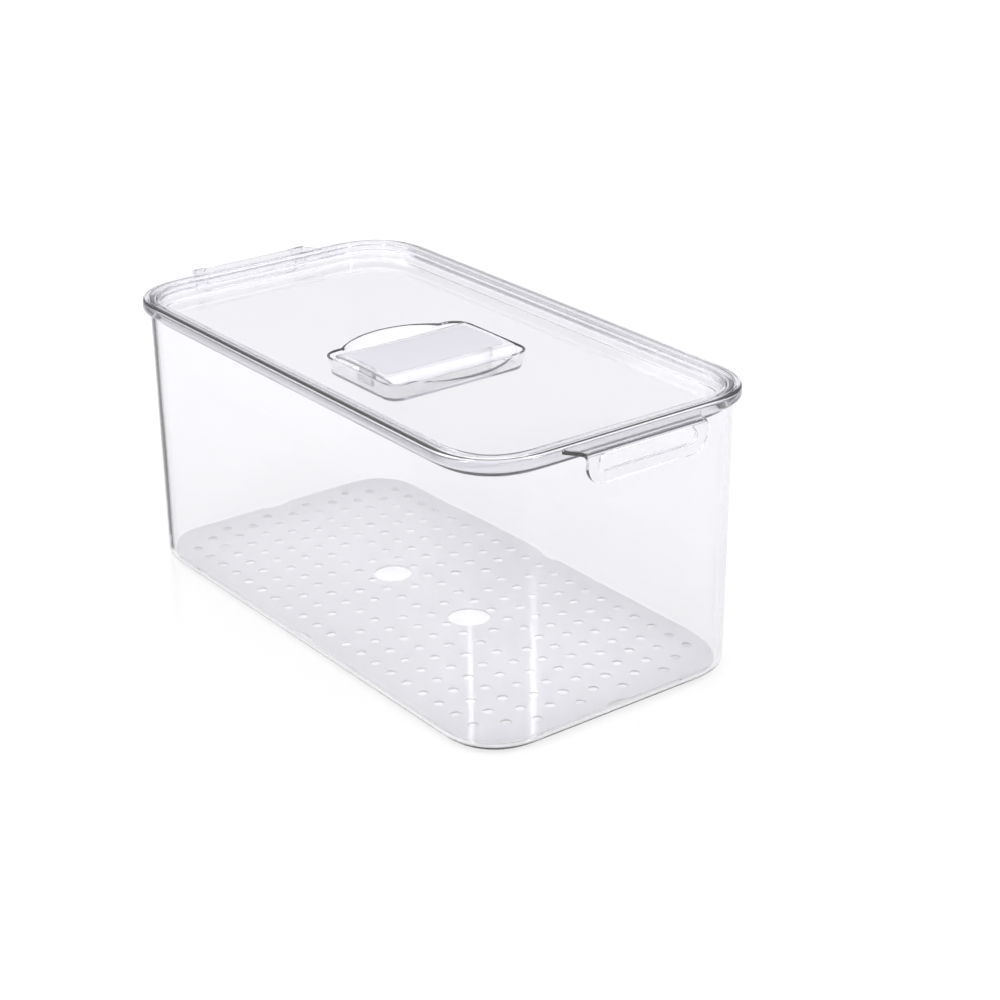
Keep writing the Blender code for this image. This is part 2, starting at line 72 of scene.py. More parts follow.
# Tub.
WALL = 0.0020
FLOOR = 0.0018
FOOT_HEIGHT = 0.0010
DRAFT = 0.0010
RIM_OVERHANG = 0.0036
RIM_HEIGHT = 0.0058
RIM_ROUND = 0.0016
BASE_FILLET = 0.0040
FLOOR_FILLET = 0.0020
CORNER_FILL = 0.0013
LEDGE_DROP = 0.0022
REBATE_INSET = 0.0033
BASE_STEPS = 8
RIM_LOW_STEPS = 5
RIM_TOP_STEPS = 6
FLOOR_STEPS = 6
EDGE_ROUND = 0.0004
EDGE_STEPS = 3
SOFT_STEPS = 4

# Looped handles.
HANDLE_END_X = BODY_HIGH.x
HANDLE_HALF_Y = 0.0335
HANDLE_SKIN = 0.0022
HANDLE_FOLD = 0.0030
HANDLE_BOTTOM = 0.1254
HANDLE_CORNER = 0.0090
HANDLE_CORNER_STEPS = 12
HANDLE_EDGE = 0.0005
FOLD_STEPS = 12
SHELF_TOP = RIM_TOP - 0.0007
SHOULDER_FLARE = 0.0052
SHOULDER_REACH = 0.0085
SHOULDER_STEPS = 16
WINDOW_HALF_Y = 0.0270
WINDOW_BOTTOM = 0.1310
WINDOW_CORNER = 0.0032
WINDOW_CORNER_STEPS = 10
WINDOW_IN_FOLD = 0.35

# Corner feet and cross ribs under the floor.
FOOT_INSET = 0.0095
FOOT_WIDTH = 0.0022
FOOT_END_X = 0.1030
FOOT_END_Y = 0.0410
RIB_X = 0.0475
RIB_HALF_Y = 0.0620
RIB_WIDTH = 0.0016
RIB_DEPTH = 0.0006
RIB_END_PART = 1 / 2.2
RIB_END_STEPS = 5

# Lid and its grip pocket.
LID_TOP = LID_HIGH.z
LID_THICK = 0.0016
LID_WALL = 0.0018
FLANGE_THICK = 0.0019
PLUG_INSET = RIM_OVERHANG + WALL + 0.0006
RECESS_DEPTH = 0.0080
RECESS_TAPER = 0.0008
PLUG_STEPS = 5
PANEL_TOP = LID_TOP - RECESS_DEPTH
POCKET_HALF_X = 0.0285
POCKET_HALF_Y = 0.0400
POCKET_RADIUS = 0.0085
POCKET_LEAST_RADIUS = 0.0010
POCKET_DEPTH = 0.0090
POCKET_STEPS = 9
POCKET_TAPER = 0.0030
POCKET_WALL_PART = 0.6
POCKET_SKIN = 0.0014
SCOOP_HALF_Y = 0.0285
SCOOP_BULGE = 0.0110
SCOOP_STEPS = 12
SCOOP_SLOPE = 0.8
SCOOP_FADE = 1.4
POCKET_ROUND = 0.0012
POCKET_ROUND_STEPS = 6
POCKET_ROUND_SPREAD = 1.2

# Grip plate, label and tray.
GRIP_TOP = PANEL_TOP + 0.0010
GRIP_THICK = 0.0014
GRIP_ROLL_RADIUS = 0.0070
GRIP_ROLL_ANGLE = math.radians(60)
GRIP_ROLL_STEPS = 12
GRIP_CORNER = 0.0060
GRIP_CORNER_STEPS = 12
GRIP_EDGE = 0.0006
GRIP_CROWN = 0.0004
GRIP_CROWN_STEPS = 8
LATCH_HALF_X = 0.0060
LATCH_THICK = 0.0018
LATCH_EDGE = 0.0003
LATCH_OUT = 0.0001
LABEL_CORNER = 0.0030
LABEL_CORNER_STEPS = 8
LABEL_EDGE = 0.0001
LABEL_STEPS = 6
TRAY_RADIUS = 0.0239
NOTCH_HALF = 0.0095
NOTCH_DEPTH = 0.0025
NOTCH_STEPS = 16
HOLE_PITCH = 0.0125
HOLE_RADIUS = 0.0024
HOLE_SIDES = 20
HOLE_ROUND = 0.00035
HOLE_ROUND_STEPS = 4
HOLE_ROWS_EACH_WAY = 5
HOLES_EACH_WAY = 11
PLAIN_PLACE = 5
FINGER_HOLE_X = 0.0315
FINGER_HOLE_RADIUS = 0.0095
FINGER_HOLE_SIDES = 64
TRAY_UNDER = TRAY_LOW.z + 0.0010
TRAY_EDGE = 0.00045
TRAY_LIP_INSET = NOTCH_DEPTH + 0.0003
TRAY_LIP_WIDTH = 0.0014

# Clear plastics: tint, roughness, the colour and density that they absorb, and clearness.
CRYSTAL_PLASTIC = ((0.995, 0.995, 1.0), 0.012, (0.80, 0.79, 0.825), 85.0, 0.988)
LID_PLASTIC = ((0.99, 0.99, 0.995), 0.014, (0.78, 0.77, 0.82), 45.0, 0.988)
GRIP_PLASTIC = ((0.87, 0.87, 0.89), 0.06, (0.78, 0.77, 0.84), 40.0, 0.75)
CLEAR_IOR = 1.52
CLOUD_SCALE = 9.0
CLOUD_SHADE = 0.985
SCUFF_SCALE = 240.0
SCUFF_ROUGHER = 2.2
FLOW_SCALE = 14.0
FLOW_DEPTH = 0.0006
FLOW_STRENGTH = 0.25

# Frosted plastics: light and dark colour, transmission and roughness.
TRAY_PLASTIC = ((0.99, 0.98, 0.995), (0.975, 0.965, 0.98), 0.05, 0.6)
LABEL_PLASTIC = ((0.41, 0.405, 0.43), (0.39, 0.385, 0.41), 0.05, 0.55)
FROSTED_IOR = 1.48
MOTTLE_SCALE = 26.0
GRAIN_SCALE = 2600.0
GRAIN_SMOOTHER = 0.9
GRAIN_ROUGHER = 1.15
GRAIN_DEPTH = 0.00005
GRAIN_STRENGTH = 0.35
NOISE_LOW = 0.3
NOISE_HIGH = 0.7

# Floor: it glows evenly, with a painted pool of light under the bin, where it glows a little more and
# lifts the bin's shadow, and painted shade that fades it to grey in the distance.
FLOOR_DROP = 0.0002
FLOOR_RADIUS = 30.0
FLOOR_SIDES = 96
FLOOR_COLOUR = (0.15, 0.15, 0.15, 1.0)
FLOOR_ROUGHNESS = 0.18
FLOOR_SPECULAR = 0.8
FLOOR_GLOW = 0.72
UNDER_BIN_PAINTED_LIGHT = 1.5
UNDER_BIN_FULL = 0.58
UNDER_BIN_END = 0.84
FADE_START = 2.2
FADE_END = 6.0
FAR_PAINTED_SHADE = (0.55, 0.55, 0.57)

# Studio: how bright the room is at each height, from straight down to straight up.
CEILING_LIGHT = 2.1
ROOM_LOW = (0.56, 0.56, 0.57, 1.0)
ROOM_TOP = (1.0, 1.0, 1.0, 1.0)
ROOM_LEVELS = ((0.14, 0.28), (0.34, 0.36), (0.52, 0.32), (0.66, 0.50), (0.76, 1.15))
ROOM_TINT = 0.96

# Soft boxes: place, target, width, height and power.
KEY_SOFTBOX = ((-0.9, -0.9, 1.5), (0, 0, 0.05), 0.9, 0.9, 8.0)
RIGHT_SOFTBOX = ((1.233, 0.549, 0.98), (0, 0, 0.6), 0.15, 0.76, 12.0)
LEFT_SOFTBOX = ((0.16, -0.56, 0.34), (0, 0, 0.3), 0.09, 0.3, 2.0)

# Camera.
CAMERA_AZIMUTH = 54.643
CAMERA_ELEVATION = 22.863
CAMERA_DISTANCE = 1.0979
CAMERA_PIVOT = Vector((0.0, 0.0, 0.0705))
CAMERA_AIM = Vector((0.02476, 0.02441, 0.05771))
CAMERA_ROLL = 0.435
CAMERA_LENS = 81.25
CAMERA_SENSOR = 36.0
CAMERA_NEAREST = 0.01
CAMERA_FARTHEST = 200.0
CLEAR_BOUNCES = 24
GLOSSY_BOUNCES = 10


def corner_outline(half_x, half_y, reach, corner):
    """Four corners as (x, y) points, anticlockwise from the +X side.
    The corner is given as (along X, along Y) parts of its reach, from its +X end to its +Y end."""
    points = []
    points += [(half_x - reach + reach * a, half_y - reach + reach * b) for a, b in corner]
    points += [(reach - half_x - reach * b, half_y - reach + reach * a) for a, b in corner]
    points += [(reach - half_x - reach * a, reach - half_y - reach * b) for a, b in corner]
    points += [(half_x - reach + reach * b, reach - half_y - reach * a) for a, b in corner]
    return points


def rounded(half_x, half_y, radius, steps=CORNER_STEPS):
    """A rounded rectangle with circular corners."""
    angles = [math.radians(90 * step / steps) for step in range(steps + 1)]
    return corner_outline(half_x, half_y, radius, [(math.cos(a), math.sin(a)) for a in angles])


def eased_corner():
    """A corner whose curvature starts and ends at nothing, with a held point on either side."""
    x, y = 1.0, 0.0
    places = [(x, y)]
    for step in range(CORNER_STEPS * CORNER_DETAIL):
        part = (step + 0.5) / (CORNER_STEPS * CORNER_DETAIL)
        turned = math.pi / 2 * (3 * part**2 - 2 * part**3)
        x -= math.sin(turned)
        y += math.cos(turned)
        places.append((x, y))
    size = places[-1][1]
    corner = [(1 + (a - 1) / size, b / size) for a, b in places[::CORNER_DETAIL]]
    return [(1.0, -CORNER_HOLD)] + corner + [(-CORNER_HOLD, 1.0)]


def inset_rim(inset, fill=0.0):
    """The rim's outline set in. It cuts its corners as deep as a circle of the rim's radius would.
    A corner fill widens that circle, which leaves the wall a little thicker there."""
    corner = eased_corner()
    middle = corner[len(corner) // 2][0]
    reach = (RIM_RADIUS - inset + fill) * (1 - math.sqrt(0.5)) / (1 - middle)
    return corner_outline(RIM_HALF_X - inset, RIM_HALF_Y - inset, reach, corner)


def arc(inset_from, height_from, inset_to, height_to, steps, swell):
    """Points of a quarter ellipse between two (inset, height) places.
    swell is "side" where it leaves along the height, and "flat" where it leaves along the inset."""
    for step in range(steps + 1):
        angle = math.radians(90 * step / steps)
        if swell == "side":
            part_in, part_up = 1 - math.cos(angle), math.sin(angle)
        else:
            part_in, part_up = math.sin(angle), 1 - math.cos(angle)
        inset = inset_from + (inset_to - inset_from) * part_in
        height = height_from + (height_to - height_from) * part_up
        yield inset, height


def new_object(name, shape):
    mesh = bpy.data.meshes.new(name)
    shape.to_mesh(mesh)
    shape.free()
    made = bpy.data.objects.new(name, mesh)
    bpy.context.scene.collection.objects.link(made)
    return made


def loft(name, rings):
    """A closed solid through rings of equal length, each a list of points with a height."""
    shape = bmesh.new()
    loops = [[shape.verts.new((x, y, z)) for x, y in points] for points, z in rings]
    for low, high in zip(loops, loops[1:]):
        for i in range(len(low)):
            shape.faces.new((low[i - 1], low[i], high[i], high[i - 1]))
    shape.faces.new(reversed(loops[0]))
    shape.faces.new(loops[-1])
    bmesh.ops.recalc_face_normals(shape, faces=shape.faces)
    return new_object(name, shape)


def plate(outlines, thickness, edge, steps=EDGE_STEPS):
    """A flat plate in X and Y with holes and rounded edges, as a bmesh centred on Z = 0.
    The first outline is the outer one and the rest are holes."""
    curve = bpy.data.curves.new("outline", "CURVE")
    curve.dimensions = "2D"
    curve.fill_mode = "BOTH"
    curve.extrude = thickness / 2 - edge
    curve.bevel_depth = edge
    curve.bevel_resolution = steps
    curve.offset = -edge
    for outline in outlines:
        spline = curve.splines.new("POLY")
        spline.points.add(len(outline) - 1)
        for point, (x, y) in zip(spline.points, outline):
            point.co = (x, y, 0.0, 1.0)
        spline.use_cyclic_u = True
    drawn = bpy.data.objects.new("outline", curve)
    bpy.context.scene.collection.objects.link(drawn)
    bpy.context.view_layer.update()
    graph = bpy.context.evaluated_depsgraph_get()
    mesh = bpy.data.meshes.new_from_object(drawn.evaluated_get(graph))
    bpy.data.objects.remove(drawn)
    bpy.data.curves.remove(curve)
    shape = bmesh.new()
    shape.from_mesh(mesh)
    bpy.data.meshes.remove(mesh)
    bmesh.ops.remove_doubles(shape, verts=shape.verts, dist=WELD)
    bmesh.ops.recalc_face_normals(shape, faces=shape.faces)
    return shape


def cut_across(shape, places, normal):
    """Adds edges across a plate at each place, so that it can bend there."""
    for place in places:
        geometry = shape.verts[:] + shape.edges[:] + shape.faces[:]
        point = normal * place
        bmesh.ops.bisect_plane(shape, geom=geometry, dist=ON_THE_CUT, plane_co=point, plane_no=normal)


def smooth(piece):
    """Smooth shading on rounds and fillets, and flat shading on the level faces and on the upright
    faces that face straight along X.
    """
    piece.data.shade_smooth()
    piece.data.set_sharp_from_angle(angle=SMOOTH_ANGLE)
    for face in piece.data.polygons:
        if max(abs(face.normal.x), abs(face.normal.z)) > SQUARE_ON:
            face.use_smooth = False


def applied(piece):
    """Turns a piece with modifiers into a plain mesh."""
    bpy.context.view_layer.update()
    graph = bpy.context.evaluated_depsgraph_get()
    mesh = bpy.data.meshes.new_from_object(piece.evaluated_get(graph))
    piece.modifiers.clear()
    piece.data = mesh
    return piece


def boolean(piece, tool, operation):
    step = piece.modifiers.new(operation, "BOOLEAN")
    step.operation = operation
    step.solver = "MANIFOLD"
    step.object = tool
    applied(piece)
    bpy.data.objects.remove(tool)


def tub_section():
    """The tub's section as (inset, height) places: outside up to the ledge, and down inside."""
    under = FOOT_HEIGHT
    floor_top = under + FLOOR
    base = RIM_OVERHANG + DRAFT
    inside = RIM_OVERHANG + WALL
    rim_under = RIM_TOP - RIM_HEIGHT
    ledge = RIM_TOP - LEDGE_DROP
    soft = EDGE_ROUND
    places = list(arc(base + BASE_FILLET, under, base, under + BASE_FILLET, BASE_STEPS, "flat"))
    places.append((base, under + BASE_FILLET + soft))
    places.append((RIM_OVERHANG, rim_under - 4 * soft))
    low = rim_under - 3 * soft
    places += arc(RIM_OVERHANG, low, RIM_OVERHANG - 3 * soft, rim_under, SOFT_STEPS, "side")
    places += arc(RIM_ROUND, rim_under, 0.0, rim_under + RIM_ROUND, RIM_LOW_STEPS, "flat")
    places += arc(0.0, RIM_TOP - RIM_ROUND, RIM_ROUND, RIM_TOP, RIM_TOP_STEPS, "side")
    places += arc(REBATE_INSET - soft, RIM_TOP, REBATE_INSET, RIM_TOP - soft, EDGE_STEPS, "flat")
    places += arc(REBATE_INSET, ledge + soft, REBATE_INSET + soft, ledge, EDGE_STEPS, "side")
    within = list(arc(inside - soft, ledge, inside, ledge - soft, EDGE_STEPS, "flat"))
    within.append((inside, ledge - 2 * soft))
    low = inside + DRAFT
    within.append((low, floor_top + FLOOR_FILLET + soft))
    within += arc(low, floor_top + FLOOR_FILLET, low + FLOOR_FILLET, floor_top, FLOOR_STEPS, "side")
    return places, within


def corner_foot(side_x, side_y):
    """A low rib that follows one corner of the base."""
    outer = RIM_RADIUS - FOOT_INSET
    inner = outer - FOOT_WIDTH
    centre_x = RIM_HALF_X - RIM_RADIUS
    centre_y = RIM_HALF_Y - RIM_RADIUS
    angles = [math.radians(90 * step / CORNER_STEPS) for step in range(CORNER_STEPS + 1)]
    points = [(centre_x + outer, FOOT_END_Y)]
    points += [(centre_x + outer * math.cos(a), centre_y + outer * math.sin(a)) for a in angles]
    points += [(FOOT_END_X, centre_y + outer), (FOOT_END_X, centre_y + inner)]
    angles.reverse()
    points += [(centre_x + inner * math.cos(a), centre_y + inner * math.sin(a)) for a in angles]
    points.append((centre_x + inner, FOOT_END_Y))
    height = FOOT_HEIGHT + FLOOR / 2
    shape = plate([[(side_x * x, side_y * y) for x, y in points]], height, EDGE_ROUND)
    bmesh.ops.translate(shape, vec=(0, 0, height / 2), verts=shape.verts)
    return new_object("corner_foot", shape)


def cross_rib(x):
    height = RIB_DEPTH + FLOOR / 2
    ends = rounded(RIB_WIDTH / 2, RIB_HALF_Y, RIB_WIDTH * RIB_END_PART, RIB_END_STEPS)
    shape = plate([[(x + dx, y) for dx, y in ends]], height, EDGE_ROUND / 2)
    low = FOOT_HEIGHT - RIB_DEPTH
    bmesh.ops.translate(shape, vec=(0, 0, low + height / 2), verts=shape.verts)
    return new_object("cross_rib", shape)


def handle(side):
    """A looped handle: a flat strip with a window, whose outer part is folded down into a lip."""
    root = RIM_HALF_X - REBATE_INSET / 2
    middle = HANDLE_FOLD - HANDLE_SKIN / 2
    fold_x = HANDLE_END_X - HANDLE_FOLD
    fold_z = SHELF_TOP - HANDLE_FOLD
    fold_start = fold_x - root
    fold_end = fold_start + middle * math.pi / 2
    end = fold_end + fold_z - HANDLE_BOTTOM
    flare_end = SHOULDER_REACH + REBATE_INSET / 2
    one_side = []
    for step in range(SHOULDER_STEPS + 1):
        part = step / SHOULDER_STEPS
        flare = SHOULDER_FLARE * (1 + math.cos(math.pi * part)) / 2
        one_side.append((flare_end * part, HANDLE_HALF_Y + flare))
    for step in range(HANDLE_CORNER_STEPS + 1):
        angle = math.radians(90 * step / HANDLE_CORNER_STEPS)
        along = end - HANDLE_CORNER + HANDLE_CORNER * math.sin(angle)
        one_side.append((along, HANDLE_HALF_Y - HANDLE_CORNER + HANDLE_CORNER * math.cos(angle)))
    outline = one_side + [(s, -y) for s, y in reversed(one_side)]
    window_low = fold_end - middle * WINDOW_IN_FOLD
    window_high = fold_end + fold_z - WINDOW_BOTTOM
    window_middle = (window_low + window_high) / 2
    window_half = (window_high - window_low) / 2
    window = rounded(window_half, WINDOW_HALF_Y, WINDOW_CORNER, WINDOW_CORNER_STEPS)
    window = [(window_middle + s, y) for s, y in window]
    shape = plate([outline, window], HANDLE_SKIN, HANDLE_EDGE, SOFT_STEPS)
    folds = [fold_start + (fold_end - fold_start) * step / FOLD_STEPS for step in range(FOLD_STEPS + 1)]
    cut_across(shape, folds, Vector((1, 0, 0)))
    for vert in shape.verts:
        s, y, out = vert.co
        turn = min(max((s - fold_start) / middle, 0.0), math.pi / 2)
        x = root + min(s, fold_start) + (middle + out) * math.sin(turn)
        z = fold_z + (middle + out) * math.cos(turn) - max(s - fold_end, 0.0)
        vert.co = (side * x, y, z)
    if side < 0:
        bmesh.ops.reverse_faces(shape, faces=shape.faces)
    return new_object("handle", shape)


def make_body():
    places, within = tub_section()
    rings = [(inset_rim(inset), height) for inset, height in places]
    rings += [(inset_rim(inset, CORNER_FILL), height) for inset, height in within]
    body = loft("tub", rings)
    for side_x in (-1, 1):
        for side_y in (-1, 1):
            boolean(body, corner_foot(side_x, side_y), "UNION")
        boolean(body, cross_rib(side_x * RIB_X), "UNION")
        boolean(body, handle(side_x), "UNION")
    smooth(body)
    return body


def arch(part):
    """Height of a shallow circular arch at a part of its half-width, as a part of its rise."""
    rise = SCOOP_BULGE / SCOOP_HALF_Y
    radius = (1 + rise * rise) / (2 * rise)
    return (math.sqrt(radius * radius - part * part) - (radius - rise)) / rise


def pocket_outline(grow, bulge):
    """The grip pocket from above, with as many points as the rim: its long sides swell into scoops."""
    half_x = POCKET_HALF_X + grow
    half_y = POCKET_HALF_Y + grow
    radius = max(POCKET_RADIUS + grow, POCKET_LEAST_RADIUS)
    quarter = []
    for step in range(SCOOP_STEPS):
        y = SCOOP_HALF_Y * (step + 0.5) / (SCOOP_STEPS - 0.5)
        quarter.append((half_x + bulge * arch(y / SCOOP_HALF_Y), y))
    corner_steps = CORNER_STEPS + 2 - SCOOP_STEPS
    for step in range(corner_steps + 1):
        angle = math.radians(90 * step / corner_steps)
        x = half_x - radius + radius * math.cos(angle)
        quarter.append((x, half_y - radius + radius * math.sin(angle)))
    second = [(-x, y) for x, y in reversed(quarter)]
    third = [(-x, -y) for x, y in quarter]
    fourth = [(x, -y) for x, y in reversed(quarter)]
    return quarter + second + third + fourth


def pocket_rings(grow, mouth, floor):
    """The pocket from its mouth to its floor: the scoops fade out on the way down to a rounded foot."""
    rings = []
    wall = POCKET_TAPER * POCKET_WALL_PART
    for step in range(POCKET_STEPS + 1):
        part = step / POCKET_STEPS
        bulge = SCOOP_BULGE * (1 - part**SCOOP_SLOPE) ** SCOOP_FADE
        rings.append((pocket_outline(grow - wall * part, bulge), (POCKET_DEPTH - POCKET_ROUND) * part))
    for step in range(1, POCKET_ROUND_STEPS + 1):
        angle = math.radians(90 * step / POCKET_ROUND_STEPS)
        inward = wall + POCKET_ROUND_SPREAD * POCKET_ROUND * (1 - math.cos(angle))
        down = POCKET_DEPTH - POCKET_ROUND + POCKET_ROUND * math.sin(angle)
        rings.append((pocket_outline(grow - inward, 0.0), down))
    return [(points, mouth + (floor - mouth) * down / POCKET_DEPTH) for points, down in rings]


def make_lid():
    """One closed skin: pocket shell, panel underside, plug, flange, recess, panel and pocket."""
    panel_under = PANEL_TOP - LID_THICK
    flange_under = LID_TOP - FLANGE_THICK
    plug = PLUG_INSET
    wall = PLUG_INSET + LID_WALL
    edge = LID_MARGIN
    soft = EDGE_ROUND
    outside = list(arc(plug + 3 * soft, panel_under, plug, panel_under + 3 * soft, PLUG_STEPS, "flat"))
    outside += [(plug, flange_under)]
    outside += arc(edge + soft, flange_under, edge, flange_under + soft, EDGE_STEPS, "flat")
    outside += arc(edge, LID_TOP - 2 * soft, edge + 2 * soft, LID_TOP, SOFT_STEPS, "side")
    outside += arc(wall - 2 * soft, LID_TOP, wall, LID_TOP - 2 * soft, SOFT_STEPS, "flat")
    foot = wall + RECESS_TAPER
    outside += arc(foot, PANEL_TOP + 2 * soft, foot + 2 * soft, PANEL_TOP, SOFT_STEPS, "side")
    rings = []
    for inset, height in outside:
        fill = CORNER_FILL if inset >= PLUG_INSET else 0.0
        rings.append((inset_rim(inset, fill), height))
    floor = PANEL_TOP - POCKET_DEPTH
    shell = pocket_rings(POCKET_SKIN, panel_under, floor - POCKET_SKIN)
    mouth = [(pocket_outline(soft, SCOOP_BULGE), PANEL_TOP)]
    inner = pocket_rings(0.0, PANEL_TOP, floor)
    lowered = [(inner[0][0], PANEL_TOP - soft)] + inner[1:]
    lid = loft("lid_panel", shell[::-1] + rings + mouth + lowered)
    smooth(lid)
    return lid


def grip_bend(x, out):
    """Where a point of the flat grip plate goes: flat in the middle, rolled down at the long edges."""
    side = 1 if x >= 0 else -1
    flat = GRIP_HIGH.x - (GRIP_ROLL_RADIUS + GRIP_THICK / 2) * math.sin(GRIP_ROLL_ANGLE)
    turn = max(abs(x) - flat, 0.0) / GRIP_ROLL_RADIUS
    crown = GRIP_CROWN * (1 - (min(abs(x), flat) / flat) ** 2)
    across = min(abs(x), flat) + (GRIP_ROLL_RADIUS + out) * math.sin(turn)
    height = GRIP_TOP - GRIP_THICK / 2 - GRIP_ROLL_RADIUS + (GRIP_ROLL_RADIUS + out) * math.cos(turn)
    return side * across, height + crown


def make_grip():
    flat = GRIP_HIGH.x - (GRIP_ROLL_RADIUS + GRIP_THICK / 2) * math.sin(GRIP_ROLL_ANGLE)
    half_x = flat + GRIP_ROLL_RADIUS * GRIP_ROLL_ANGLE
    outline = rounded(half_x, GRIP_HIGH.y, GRIP_CORNER, GRIP_CORNER_STEPS)
    shape = plate([outline], GRIP_THICK, GRIP_EDGE, SOFT_STEPS)
    bends = [flat + (half_x - flat) * step / GRIP_ROLL_STEPS for step in range(GRIP_ROLL_STEPS)]
    crowns = [flat * step / GRIP_CROWN_STEPS for step in range(GRIP_CROWN_STEPS)]
    for side in (-1, 1):
        cut_across(shape, [side * place for place in bends + crowns], Vector((1, 0, 0)))
    for vert in shape.verts:
        x, y, out = vert.co
        new_x, new_z = grip_bend(x, out)
        vert.co = (new_x, y, new_z)
    bmesh.ops.recalc_face_normals(shape, faces=shape.faces)
    grip = new_object("grip_bridge", shape)
    for side in (-1, 1):
        boolean(grip, latch(side), "UNION")
    smooth(grip)
    return grip


def latch(side):
    """The snap-in foot at one short end of the grip plate."""
    outer = GRIP_HIGH.y - POCKET_TAPER + LATCH_OUT
    centre = side * (outer - LATCH_THICK / 2)
    top = GRIP_TOP - GRIP_THICK / 2
    height = top - GRIP_LOW.z
    foot = rounded(LATCH_HALF_X, LATCH_THICK / 2, LATCH_THICK / 3, SOFT_STEPS)
    shape = plate([[(x, centre + y) for x, y in foot]], height, LATCH_EDGE, 2)
    bmesh.ops.translate(shape, vec=(0, 0, GRIP_LOW.z + height / 2), verts=shape.verts)
    return new_object("latch", shape)


def make_label():
    outline = rounded(LABEL_HIGH.x, LABEL_HIGH.y, LABEL_CORNER, LABEL_CORNER_STEPS)
    shape = plate([outline], LABEL_HIGH.z - LABEL_LOW.z, LABEL_EDGE, 2)
    middle = (LABEL_HIGH.z + LABEL_LOW.z) / 2
    bends = [LABEL_HIGH.x * step / LABEL_STEPS for step in range(1 - LABEL_STEPS, LABEL_STEPS)]
    cut_across(shape, bends, Vector((1, 0, 0)))
    for vert in shape.verts:
        crown = GRIP_CROWN * (1 - (vert.co.x / LABEL_HIGH.x) ** 2)
        vert.co.z += middle + crown
    label = new_object("grip_inlay", shape)
    smooth(label)
    return label


def drain_hole_places():
    """Staggered rows of drain holes, which leave the two finger holes and their surround plain."""
    for row in range(-HOLE_ROWS_EACH_WAY, HOLE_ROWS_EACH_WAY + 1):
        staggered = row % 2 != 0
        count = HOLES_EACH_WAY if staggered and abs(row) != HOLE_ROWS_EACH_WAY else HOLES_EACH_WAY - 1
        for number in range(1, count + 1):
            x = HOLE_PITCH * (number - 0.5 if staggered else number)
            keeps_clear = row == 0 and (abs(x - FINGER_HOLE_X) < HOLE_PITCH or number == PLAIN_PLACE)
            if not keeps_clear:
                yield x, row * HOLE_PITCH
                yield -x, row * HOLE_PITCH


def hole_cutter(shape, x, y, radius, sides):
    """Adds one round cutter to a bmesh. Its ends flare, which leaves the hole with rounded edges."""
    start = TRAY_UNDER - HAIR
    profile = [(radius + HOLE_ROUND, TRAY_LOW.z - HOLE_ROUND), (radius + HOLE_ROUND, start)]
    for step in range(1, HOLE_ROUND_STEPS + 1):
        angle = math.radians(90 * step / HOLE_ROUND_STEPS)
        inward = radius + HOLE_ROUND * (1 - math.sin(angle))
        profile.append((inward, start + HOLE_ROUND * (1 - math.cos(angle))))
    profile += [(r, TRAY_UNDER + TRAY_HIGH.z - z) for r, z in reversed(profile[1:])]
    profile.append((radius + HOLE_ROUND, TRAY_HIGH.z + HOLE_ROUND))
    loops = []
    for ring_radius, height in profile:
        angles = [2 * math.pi * step / sides for step in range(sides)]
        ring = [(x + ring_radius * math.cos(a), y + ring_radius * math.sin(a), height) for a in angles]
        loops.append([shape.verts.new(place) for place in ring])
    for low, high in zip(loops, loops[1:]):
        for i in range(sides):
            shape.faces.new((low[i - 1], low[i], high[i], high[i - 1]))
    shape.faces.new(reversed(loops[0]))
    shape.faces.new(loops[-1])


def tray_outline():
    """The tray from above: a rounded rectangle with a shallow notch in the middle of each side."""
    half_x = TRAY_HIGH.x
    half_y = TRAY_HIGH.y
    corners = rounded(half_x, half_y, TRAY_RADIUS)
    quarter = CORNER_STEPS + 1
    points = []
    for number, (dx, dy) in enumerate(((0, 1), (-1, 0), (0, -1), (1, 0))):
        points += notch(half_x, half_y, dx, dy)
        points += corners[number * quarter : (number + 1) * quarter]
    return points


def notch(half_x, half_y, dx, dy):
    """A shallow wave in the side that is travelled in the direction (dx, dy)."""
    out_x, out_y = dy, -dx
    points = []
    for step in range(NOTCH_STEPS + 1):
        part = 2 * step / NOTCH_STEPS - 1
        along = part * NOTCH_HALF
        inward = NOTCH_DEPTH * (1 + math.cos(math.pi * part)) / 2
        x = dx * along + out_x * (half_x - inward)
        y = dy * along + out_y * (half_y - inward)
        points.append((x, y))
    return points


def make_tray():
    """A pierced plate on a low lip that follows its edge."""
    thickness = TRAY_HIGH.z - TRAY_UNDER
    shape = plate([tray_outline()], thickness, TRAY_EDGE)
    bmesh.ops.translate(shape, vec=(0, 0, TRAY_HIGH.z - thickness / 2), verts=shape.verts)
    tray = new_object("drain_plate", shape)
    holes = bmesh.new()
    for x, y in drain_hole_places():
        hole_cutter(holes, x, y, HOLE_RADIUS, HOLE_SIDES)
    for x in (-FINGER_HOLE_X, FINGER_HOLE_X):
        hole_cutter(holes, x, 0.0, FINGER_HOLE_RADIUS, FINGER_HOLE_SIDES)
    boolean(tray, new_object("tray_holes", holes), "DIFFERENCE")
    lip_edges = []
    for inset in (TRAY_LIP_INSET, TRAY_LIP_INSET + TRAY_LIP_WIDTH):
        lip_edges.append(rounded(TRAY_HIGH.x - inset, TRAY_HIGH.y - inset, TRAY_RADIUS - inset))
    height = TRAY_UNDER + thickness / 2 - TRAY_LOW.z
    lip = plate(lip_edges, height, EDGE_ROUND / 2, 2)
    bmesh.ops.translate(lip, vec=(0, 0, TRAY_LOW.z + height / 2), verts=lip.verts)
    boolean(tray, new_object("tray_lip", lip), "UNION")
    smooth(tray)
    return tray


def texture_space(nodes):
    place = nodes.new("ShaderNodeTexCoord")
    return place.outputs["Object"]


def noise(nodes, links, space, scale, detail):
    made = nodes.new("ShaderNodeTexNoise")
    made.inputs["Scale"].default_value = scale
    made.inputs["Detail"].default_value = detail
    links.new(space, made.inputs["Vector"])
    return made.outputs["Fac"]


